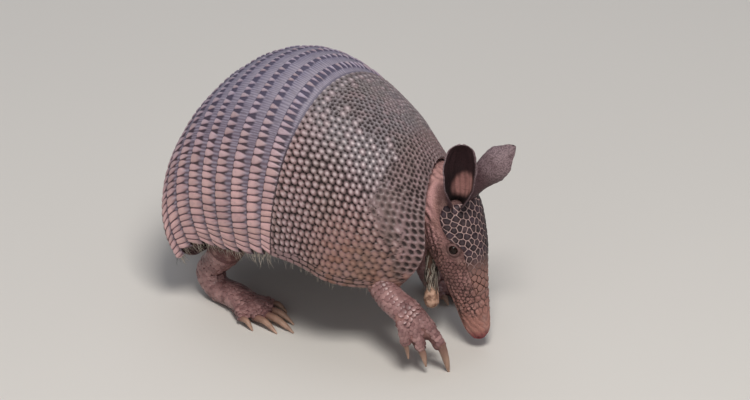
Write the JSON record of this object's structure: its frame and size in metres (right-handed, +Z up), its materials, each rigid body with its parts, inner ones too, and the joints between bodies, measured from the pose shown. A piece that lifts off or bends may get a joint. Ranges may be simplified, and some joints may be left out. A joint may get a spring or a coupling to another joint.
{
  "type": "nine-banded armadillo model",
  "caption": "Still, life-size armadillo with a banded bony shell, rooting with its nose down and tail curled.",
  "frame": {"origin": "on the ground under the middle of the animal's length and width", "axes": "+X the way the animal faces, +Y its left side, +Z up"},
  "size_m": [0.2757, 0.2084, 0.1691],
  "materials": {
    "shell_horn": "semi-gloss bony scutes, pink-tan edges over slate",
    "brow_horn": "slate scutes with pale borders, semi-gloss",
    "skin": "wrinkled pink-brown skin",
    "ear_skin": "pebbled leathery ear, maroon inside",
    "eye": "wet dark eye",
    "claw": "tan horn, polished at the tip",
    "wart_horn": "pale yellow horny cheek wart with bristles"
  },
  "bodies": {
    "root": {"shield_shoulder": "shell_horn", "band_1": "shell_horn", "band_2": "shell_horn", "band_3": "shell_horn", "band_4": "shell_horn", "band_5": "shell_horn", "band_6": "shell_horn", "band_7": "shell_horn", "band_8": "shell_horn", "band_9": "shell_horn", "shield_hip": "shell_horn", "head": "skin", "brow_shield": "brow_horn", "eye_right": "eye", "ear_right": "ear_skin", "cheek_wart_right": "wart_horn", "eye_left": "eye", "ear_left": "ear_skin", "cheek_wart_left": "wart_horn", "trunk": "skin", "neck": "skin", "leg_front_right": "skin", "claw_front_right_1": "claw", "claw_front_right_2": "claw", "claw_front_right_3": "claw", "claw_front_right_4": "claw", "leg_hind_right": "skin", "claw_hind_right_1": "claw", "claw_hind_right_2": "claw", "claw_hind_right_3": "claw", "claw_hind_right_4": "claw", "claw_hind_right_5": "claw", "leg_front_left": "skin", "claw_front_left_1": "claw", "claw_front_left_2": "claw", "claw_front_left_3": "claw", "claw_front_left_4": "claw", "leg_hind_left": "skin", "claw_hind_left_1": "claw", "claw_hind_left_2": "claw", "claw_hind_left_3": "claw", "claw_hind_left_4": "claw", "claw_hind_left_5": "claw", "tail_ring_1": "shell_horn", "tail_ring_2": "shell_horn", "tail_ring_3": "shell_horn", "tail_ring_4": "shell_horn", "tail_ring_5": "shell_horn", "tail_ring_6": "shell_horn", "tail_ring_7": "shell_horn", "tail_ring_8": "shell_horn", "tail_ring_9": "shell_horn", "tail_ring_10": "shell_horn", "tail_ring_11": "shell_horn", "tail_ring_12": "shell_horn", "tail_tip": "shell_horn"}
  },
  "joints": []
}
